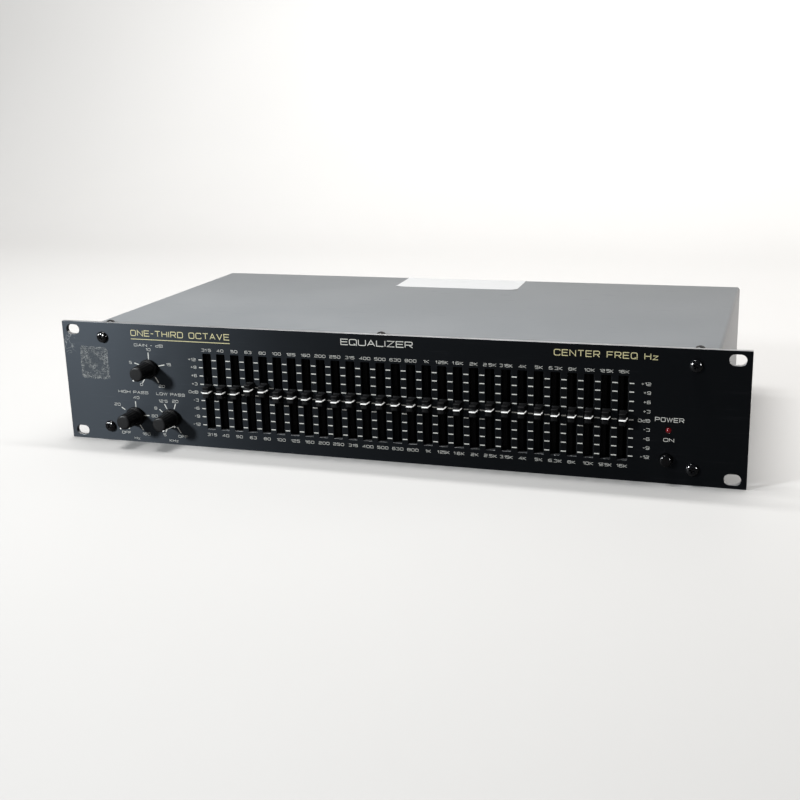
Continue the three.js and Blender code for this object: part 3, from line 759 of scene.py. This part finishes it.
# Round each rotary control: its name, the numbers and the marks, all from the panel's middle.
CONTROL_LEGENDS = {
    "gain": {
        "name": ("GAIN - dB", -171.3, 28.7, 23.2),
        "numbers": [
            ("5", -187, 15.5), ("10", -171.7, 25.7), ("15", -156.2, 15.5), ("20", -163.1, -0.9),
            ("0", -179.6, -0.4),
        ],
        "marks": [
            (-172, 23.6, -172, 18.6), (-183.8, 15.3, -180.1, 14.2), (-164.5, 14, -159.6, 15.1),
            (-178.7, 0.8, -176.5, 4), (-167.9, 5.7, -165.4, 1.7),
        ],
    },
    "high_pass": {
        "name": ("HIGH PASS", -187, -6.5, 24.5),
        "numbers": [
            ("20", -201, -16.5), ("40", -184.9, -10.5), ("80", -171, -23.5), ("160", -179.1, -37.7),
            ("OFF", -195.7, -37.7), ("Hz", -187, -41.4),
        ],
        "marks": [
            (-185.9, -13.4, -185.9, -17.7), (-197.8, -18.6, -195, -20.2),
            (-179.5, -23.7, -175.3, -23.5), (-193.4, -34.8, -191.4, -32.2), (-183.8, -31, -181.3, -34.9),
        ],
    },
    "low_pass": {
        "name": ("LOW PASS", -156.7, -6.5, 23),
        "numbers": [
            ("5", -163.9, -37.2), ("8", -169.6, -17.5), ("12.5", -163.1, -11.9), ("20", -153.3, -11.5),
            ("OFF", -149.2, -37.6), ("KHz", -156.8, -41.2),
        ],
        "marks": [
            (-162.2, -14.1, -160.4, -17.5), (-153.2, -13.2, -154.7, -17.3),
            (-166.7, -18.2, -164.3, -20.2), (-163, -35.1, -161.6, -32.5), (-153.2, -30.7, -150.6, -35),
        ],
    },
}


def control_print():
    """Legends and marks round the three rotary controls and by the power button."""
    for control, words in CONTROL_LEGENDS.items():
        name, x, y, length = words["name"]
        strokes = lettering(name, x, y, 2.0, 1, 0.115, 0.26, length=length)
        for text, x, y in words["numbers"]:
            strokes += lettering(text, x, y, 2.0, 1.12, 0.115, 0.24)
        strokes += [bar(*mark, 0.72) for mark in words["marks"]]
        legend(f"{control}_legend", strokes)
    power = lettering("POWER", 193.3, -2, 2.9, 1, 0.12, 0.22, length=17.8)
    power += lettering("ON", 193.2, -15.1, 2.3, 1, 0.13, 0.22, length=6.6)
    legend("power_legend", power)


def title_print():
    title = lettering("EQUALIZER", 1.2, 38.1, 4.3, 1, 0.12, 0.2, length=50.9)
    legend("title_legend", title)
    left = lettering("ONE-THIRD OCTAVE", -145.9, 37.4, 4.4, 1, 0.12, 0.22, length=78)
    left += [bar(-184.9, 33, -106.9, 33, 0.5)]
    legend("octave_legend", left, "gold_ink")
    right = lettering("CENTER FREQ Hz", 152.8, 37.9, 4.2, 1, 0.12, 0.22, length=65)
    legend("frequency_legend", right, "gold_ink")


# ---------------------------------------------------------------- band sliders

CAP = {"crest": 7.9, "base": 1.2, "base_half": 2.45, "crest_half": 2.05}


def cap_half(out):
    """Half the cap's width at a distance from the panel."""
    share = (out - CAP["base"]) / (CAP["crest"] - CAP["base"])
    return CAP["base_half"] + share * (CAP["crest_half"] - CAP["base_half"])


def cap_mesh():
    """A finger cap: it narrows to the front, is hollowed either side of a crest, and has a flat foot."""
    upper = [(CAP["base"], 4.0), (3.5, 4.1), (6.7, 3.95), (6.95, 3.6), (6.5, 1.7), (7.0, 0.95)]
    upper.append((CAP["crest"], 0.5))
    side = upper + [(out, -up) for out, up in reversed(upper)]
    count = len(side)
    points = [(sign * cap_half(out), up, out) for sign in (-1, 1) for out, up in side]
    faces = [(k, (k + 1) % count, count + (k + 1) % count, count + k) for k in range(count)]
    back = [0, 1, count - 2, count - 1]
    front = list(range(1, count - 1))
    faces += [tuple(back), tuple(front), tuple(count + k for k in back), tuple(count + k for k in front)]
    body = solid("cap_body", points, faces, 0.14)
    foot = box("cap_foot", (-2.6, 2.6), (-4.75, 4.75), (0.4, 1.3), 0.16)
    return joined("slider_cap", [body, foot])


def pointer_mesh():
    """The white line inlaid over the crest and down both sides of a cap."""
    proud, sunk, start = 0.05, -0.12, 1.45

    def offset(by):
        corner, side = CAP["crest_half"] + by * 0.8, cap_half(start) + by
        line = [(-side, start), (-corner, CAP["crest"] + by), (corner, CAP["crest"] + by), (side, start)]
        return soften(line, 0.25, False, 3)

    outline = offset(proud) + offset(sunk)[::-1]
    mesh = prism("pointer_line", outline, -0.44, 0.44, 0)
    turn = Matrix(((1, 0, 0, 0), (0, 0, -1, 0), (0, 1, 0, 0), (0, 0, 0, 1)))
    mesh.transform(turn)
    fix_normals(mesh)
    return mesh


def sliders():
    cap, pointer = cap_mesh(), pointer_mesh()
    lever = box("slider_lever", (-0.6, 0.6), (-2, 2), (-11.5, 1.0), 0.12)
    for body in SLIDERS:
        where = standing(PANEL, spot(PANEL, body))
        show(f"{body}_cap", cap, "cap_plastic", body, replaced=[body], where=where)
        show(f"{body}_line", pointer, "pointer_white", body, where=where)
        show(f"{body}_lever", lever, "zinc_steel", body, where=where)


# ---------------------------------------------------------------- knobs, button, lamp, screws

KNOB = {"skirt": 7.0, "foot": 6.0, "top": 5.2, "skirt_out": 3.2, "out": 18.4, "flutes": 18}


def knob_mesh():
    """A skirted knob with a slightly tapered, finely fluted grip."""
    k = KNOB
    outline = [(0, 12.4), (3.3, 12.4), (3.3, 0.5), (k["skirt"], 0.5), (k["skirt"], k["skirt_out"] - 0.2),
               (k["foot"] + 0.35, k["skirt_out"] + 0.25), (k["foot"] - 0.1, k["skirt_out"] + 0.5),
               (k["top"] + 0.05, k["out"] - 0.6), (k["top"] - 0.9, k["out"]), (0, k["out"])]
    profile = soften(outline, 0.5, False, 4)
    low, high = k["skirt_out"] + 1.2, k["out"] - 1.0

    def flute(turn, height):
        if height < low or height > high:
            return 0
        fade = min(1, (height - low) / 1.0, (high - height) / 0.8)
        wave = 0.5 - 0.5 * math.cos(k["flutes"] * turn)
        return 0.22 * fade * wave ** 2

    dense = []
    for a, b in zip(profile, profile[1:]):
        dense.append(a)
        if b.y - a.y > 6 and a.x > 3.5:
            dense += [a.lerp(b, t / 14) for t in range(1, 14)]
    dense.append(profile[-1])
    return turned("knob", dense, k["flutes"] * 6, depth_at=flute)


def knob_pointer():
    """The white line: a mark on the skirt, a thin line up the grip and a dot at its front, along +Y."""
    k = KNOB
    path = [(k["foot"] + 0.1, k["skirt_out"] + 0.5), (k["top"] + 0.1, k["out"] - 0.9)]
    outer = [Vector(p) + Vector((0.06, 0)) for p in path]
    inner = [Vector(p) - Vector((0.3, 0)) for p in path]
    line = prism("knob_pointer", outer + inner[::-1], -0.22, 0.22, 0)
    line.transform(Matrix(((0, 0, 1, 0), (1, 0, 0, 0), (0, 1, 0, 0), (0, 0, 0, 1))))
    skirt_mark = box("skirt_mark", (-0.5, 0.5), (k["foot"] - 0.3, k["skirt"] + 0.05),
                     (k["skirt_out"] - 0.9, k["skirt_out"] + 0.3), 0)
    tip = box("pointer_tip", (-0.55, 0.55), (k["top"] - 0.4, k["top"] + 0.4),
              (k["out"] - 1.9, k["out"] - 0.3), 0.15)
    whole = joined("knob_pointer", [line, skirt_mark, tip])
    fix_normals(whole)
    return whole


def knobs():
    mesh, pointer = knob_mesh(), knob_pointer()
    for name, angle in (("gain", 210), ("high_pass", 210), ("low_pass", 145)):
        where = standing(PANEL, ROTARIES[name], -angle)
        body = f"{name}_control"
        show(f"{name}_knob_grip", mesh, "knob_plastic", body, replaced=[f"{name}_knob"], where=where)
        show(f"{name}_knob_line", pointer, "pointer_white", body, where=where)


def screw_mesh(name, radius, rise, shank, length):
    """A pan head with a cross recess."""
    dome = [(radius, 0.05), (radius, rise * 0.3)]
    turns = [k * math.pi / 16 for k in range(1, 8)]
    dome += [(radius * math.cos(t), rise * (0.3 + 0.7 * math.sin(t))) for t in turns]
    head = turned(name, [(0, -length), (shank, -length), (shank, 0.05)] + dome + [(0, rise)], 56)
    arm, web, depth = radius * 0.5, radius * 0.125, rise * 0.62
    top = rise + 0.4

    def narrowed(reach):
        """The recess closes in faster along its arms than across them."""
        return reach * 0.45 if abs(reach) > 1 else reach * 0.8

    def wedge(long, wide):
        high = [(-long, -wide, top), (long, -wide, top), (long, wide, top), (-long, wide, top)]
        low = [(narrowed(x), narrowed(y), top - depth - 0.4) for x, y, _ in high]
        faces = [(0, 1, 2, 3), (7, 6, 5, 4), (0, 4, 5, 1), (1, 5, 6, 2), (2, 6, 7, 3), (3, 7, 4, 0)]
        tool = mesh_from("recess", high + low, faces)
        fix_normals(tool)
        return tool

    return carved(head, [wedge(arm, web), wedge(web, arm)])


def screws():
    front = screw_mesh("front_screw", 4.1, 2.7, 1.9, 8.5)
    cover = screw_mesh("cover_screw", 3.0, 1.9, 1.4, 5)
    heads = [(PANEL, front, *one) for one in zip(FRONT_SCREWS, (20, 65, 38, 80))]
    heads += [(COVER, cover, f"cover_screw_{side}", turn)
              for side, turn in (("left", 10), ("middle", 50), ("right", 75))]
    for sheet, mesh, node, turn in heads:
        where = standing(sheet, spot(sheet, node), turn)
        show(f"{node}_head", mesh, "black_screw", "root", replaced=[node], where=where)


def button_and_lamp():
    outline = [(0, -12), (2.2, -12), (2.2, -2), (4.0, -2), (4.0, 2.6), (3.6, 3.7), (2.6, 4.15), (0, 4.3)]
    mesh = turned("power_button_cap", soften(outline, 0.6, False, 4), 56)
    where = standing(PANEL, spot(PANEL, "power_button"))
    show("power_button_cap", mesh, "gloss_black", "power_button", replaced=["power_button"],
         where=where, crease=50)
    dome = [(1.6 * math.cos(t), 1.6 * math.sin(t) - 0.3) for t in (k * math.pi / 20 for k in range(10))]
    mesh = turned("power_lamp", [(0, -6.5), (2.1, -6.5), (2.1, -5.3), (1.6, -5.3)] + dome + [(0, 1.3)], 40)
    where = standing(PANEL, spot(PANEL, "power_led"))
    show("power_lamp", mesh, "red_lens", "root", replaced=["power_led"], where=where, crease=50)


# ---------------------------------------------------------------- cover and label

def cover_outline(bevel):
    """The cover seen from the front: one sheet with a rounded fold along each top edge."""
    half, sheet, fold = (cover_high.x - cover_low.x) / 2 / MM, 1.2, 2.4
    top, bottom = cover_high.z / MM - bevel, cover_low.z / MM + bevel
    outer, inner = half - bevel, half - sheet + bevel
    steps = 10

    def arc(side, radius, start, end):
        turns = [math.radians(start + (end - start) * k / steps) for k in range(steps + 1)]
        centre = side * (half - fold), cover_high.z / MM - fold
        return [Vector((centre[0] + radius * math.cos(t), centre[1] + radius * math.sin(t))) for t in turns]

    big, little = fold - bevel, fold - sheet + bevel
    points = [Vector((outer, bottom)), *arc(1, big, 0, 90), *arc(-1, big, 90, 180), Vector((-outer, bottom))]
    points += [Vector((-inner, bottom)), *arc(-1, little, 180, 90), *arc(1, little, 90, 0)]
    points.append(Vector((inner, bottom)))
    return points


def top_cover():
    bevel = 0.2
    sheet = local_frame((1, 0, 0), (0, 0, 1), (0, -1, 0), (0, 0, 0))
    mesh = plate("cover_shell", [cover_outline(bevel)], -cover_high.y / MM, -cover_low.y / MM, bevel, sheet)
    show("cover_shell", mesh, "cover_paint", "root", replaced=["top_cover"], crease=25)


def paper_label():
    """A blank label at the back edge of the cover, with slightly lifted corners."""
    x, y = (-50.5, 51.5), (74.8, cover_high.y / MM - 0.4)
    across, along = 24, 12
    points, faces = [], []
    for height in (0.14, 0.02):
        for j in range(along + 1):
            for i in range(across + 1):
                u, v = i / across, j / along
                corner = max(0, abs(u - 0.5) * 2 - 0.86) / 0.14 * max(0, abs(v - 0.5) * 2 - 0.7) / 0.3
                skew = 1.2 * v
                lift = height + 0.5 * corner ** 2
                points.append((x[0] + (x[1] - x[0]) * u - skew, y[0] + (y[1] - y[0]) * v, lift))
    row, layer = across + 1, (across + 1) * (along + 1)
    for j in range(along):
        for i in range(across):
            a = j * row + i
            faces.append((a, a + 1, a + 1 + row, a + row))
            faces.append((layer + a, layer + a + row, layer + a + 1 + row, layer + a + 1))
    rim = [i for i in range(row)] + [j * row + across for j in range(1, along + 1)]
    rim += [along * row + i for i in range(across - 1, -1, -1)] + [j * row for j in range(along - 1, 0, -1)]
    for a, b in zip(rim, rim[1:] + rim[:1]):
        faces.append((a, layer + a, layer + b, b))
    mesh = mesh_from("paper_label", points, faces, COVER)
    fix_normals(mesh)
    show("paper_label", mesh, "label_paper", "root")


# ---------------------------------------------------------------- rear panel

def rear_screws():
    """The terminal strip's clamp screws, and the screws that hold the sockets and the power inlet."""
    small = screw_mesh("fitting_screw", 2.3, 1.3, 1.0, 0.4)
    clamp = screw_mesh("clamp_screw", 2.9, 1.5, 1.2, 0.4)

    def row(name, mesh, places):
        heads = []
        for i, place in enumerate(places):
            head = mesh.copy()
            head.transform(Matrix.Translation(MM * Vector(place)) @ Matrix.Rotation(0.7 * i + 0.3, 4, "Z"))
            heads.append(head)
        show(name, joined(name, heads), "nickel_plate", "root", where=REAR @ Matrix.Scale(1 / MM, 4))

    low, high = extent(REAR, "terminal_strip")
    studs, end_fins, post_out = 6, 6, high.z - 2
    pitch = (high.x - low.x - end_fins) / studs
    middle = (low.x + high.x) / 2, (low.y + high.y) / 2
    columns = [(k + 0.5 - studs / 2) * pitch + middle[0] for k in range(studs)]
    row("terminal_screws", clamp, [(column, middle[1], post_out) for column in columns])
    for name, inset, diagonal in (("input_socket", 3.6, 1), ("output_socket", 3.6, 1), ("power_inlet", 5, 0)):
        low, high = extent(REAR, name)
        middle = (low.y + high.y) / 2
        reach = (high.y - low.y) / 2 - inset
        places = [(low.x + inset, middle + diagonal * reach, high.z),
                  (high.x - inset, middle - diagonal * reach, high.z)]
        row(f"{name}_screws", small, places)


# ---------------------------------------------------------------- carried-over CAD nodes

NODE_PAINT = {
    "chassis_tray": "zinc_steel", "rear_panel": "cover_paint", "slider_board": "circuit_board",
    "main_board": "main_board", "transformer_core": "zinc_steel", "transformer_winding": "winding_tape",
    "power_inlet": "black_plastic", "fuse_holder": "black_plastic", "terminal_strip": "black_plastic",
    "input_socket": "nickel_plate", "output_socket": "nickel_plate", "power_switch": "black_plastic",
}


def paint_nodes():
    for name, node in frame["nodes"].items():
        paint = NODE_PAINT.get(name, "zinc_steel")
        node.data.materials.clear()
        node.data.materials.append(MATERIALS[paint])


# ---------------------------------------------------------------- stage, lights and camera

def stage():
    """A pale floor that curves up into a backdrop."""
    floor_z = panel_low.z / MM
    depth, rise, radius = 1500, 2600, 700
    path = [(-2600, 0)] + [(depth - radius + radius * math.sin(t), radius - radius * math.cos(t))
                           for t in (k * math.pi / 24 for k in range(13))] + [(depth, rise)]
    points = [(x, y, z + floor_z) for y, z in path for x in (-3200, 3200)]
    faces = [(2 * k, 2 * k + 1, 2 * k + 3, 2 * k + 2) for k in range(len(path) - 1)]
    mesh = mesh_from("floor", points, faces)
    fix_normals(mesh)
    mesh.materials.append(MATERIALS["floor"])
    mesh.shade_smooth()
    floor = bpy.data.objects.new("floor", mesh)
    add(floor)


def lamp(name, place, aim, size, power, colour=(1, 1, 1)):
    """A rectangular lamp that the camera doesn't see."""
    data = bpy.data.lights.new(name, "AREA")
    data.shape = "RECTANGLE"
    data.size, data.size_y = size
    data.energy = power
    data.color = colour
    made = bpy.data.objects.new(name, data)
    made.location = place
    made.rotation_euler = (Vector(aim) - Vector(place)).to_track_quat("-Z", "Y").to_euler()
    made.visible_camera = False
    add(made)
    return made


def link(light, name, endings):
    """Limits a lamp to the pieces whose names have these endings."""
    chosen = bpy.data.collections.new(name)
    for piece in bpy.context.scene.objects:
        if piece.name.endswith(endings):
            chosen.objects.link(piece)
    light.light_linking.receiver_collection = chosen


def glossy_lamp(name, place, aim, size, power, endings):
    """A small square lamp that only some pieces mirror."""
    made = lamp(name, place, aim, (size, size), power)
    made.visible_diffuse = False
    link(made, name, endings)


def toward(target, azimuth, elevation, distance):
    """A place seen from the target at an azimuth right of straight ahead of the panel."""
    a, e = math.radians(azimuth), math.radians(elevation)
    way = Vector((math.sin(a) * math.cos(e), -math.cos(a) * math.cos(e), math.sin(e)))
    return Vector(target) + distance * way


def lights():
    """Window, ceiling and side wall light everything.

    The two washes reach only the floor and backdrop, the glints only the screws and the power button, in
    reflections, and line_fill only the white pointer lines. The world is dimmer in reflections too.
    """
    left_end = (panel_low.x, panel_low.y, PANEL_MIDDLE)
    right_end = (panel_high.x, panel_low.y, PANEL_MIDDLE)
    knob = tuple((PANEL @ ROTARIES["gain"])[:])
    lamp("window", toward(knob, -39, 24, 1.6), knob, (0.2, 0.2), 26, (0.93, 0.97, 1.0))
    lamp("ceiling", (-0.25, -0.12, 1.28), (-0.25, -0.12, 0), (0.5, 0.3), 13.5)
    lamp("side_wall", (1.25, 0.3, 0.13), (0.2, 0, 0.05), (0.4, 0.2), 10.5, (1.0, 0.94, 0.9))
    wash = lamp("backdrop_wash", (0, 0.5, 1.9), (0, 1.6, 0.8), (2.6, 0.4), 75)
    link(wash, "backdrop", ("floor",))
    table = lamp("table_wash", (0, -0.3, 2.2), (0, 0, 0), (2.4, 1.8), 11)
    link(table, "table", ("floor",))
    shiny = ("_head", "power_button_cap")
    glossy_lamp("glint_left", toward(left_end, -66, 15, 0.7), left_end, 0.12, 3.2, shiny)
    glossy_lamp("glint_right", toward(right_end, 46, 14, 0.7), right_end, 0.16, 4, shiny)
    glossy_lamp("glint_middle", toward(right_end, -46, 14, 0.7), right_end, 0.16, 4, shiny)
    fill = lamp("line_fill", toward(right_end, 52, 15, 1.2), (0, panel_low.y, PANEL_MIDDLE), (0.3, 0.3), 14)
    link(fill, "lines", ("_line",))
    world = bpy.data.worlds.new("room")
    world.use_nodes = True
    tree = world.node_tree
    background = tree.nodes["Background"]
    background.inputs["Color"].default_value = (0.9, 0.95, 1.0, 1)
    strength = tree.nodes.new("ShaderNodeMapRange")
    strength.inputs["To Min"].default_value = 0.13
    strength.inputs["To Max"].default_value = 0.04
    tree.links.new(tree.nodes.new("ShaderNodeLightPath").outputs["Is Glossy Ray"], strength.inputs["Value"])
    tree.links.new(strength.outputs["Result"], background.inputs["Strength"])
    bpy.context.scene.world = world


def camera():
    """The photograph's view, fitted to the panel's edges and printed ticks in the photo."""
    data = bpy.data.cameras.new("camera")
    data.sensor_width = 36
    data.lens = 52.715
    data.shift_y = -0.000625
    data.clip_start, data.clip_end = 0.05, 20
    viewer = bpy.data.objects.new("camera", data)
    forward = Vector((-0.3114907, 0.9116121, -0.2682108)).normalized()
    right = Vector((0.9484034, 0.3158290, -0.0279829)).normalized()
    up = right.cross(forward)
    turn = Matrix((right, up, -forward)).transposed().to_4x4()
    turn.translation = PANEL @ Vector((260.45, 210.24, 713.28))
    viewer.matrix_world = turn
    add(viewer)
    bpy.context.scene.camera = viewer


front_panel()
scale_print()
control_print()
title_print()
sliders()
knobs()
screws()
button_and_lamp()
top_cover()
paper_label()
rear_screws()
paint_nodes()
stage()
lights()
camera()

scene = bpy.context.scene
scene.view_settings.view_transform = "Standard"
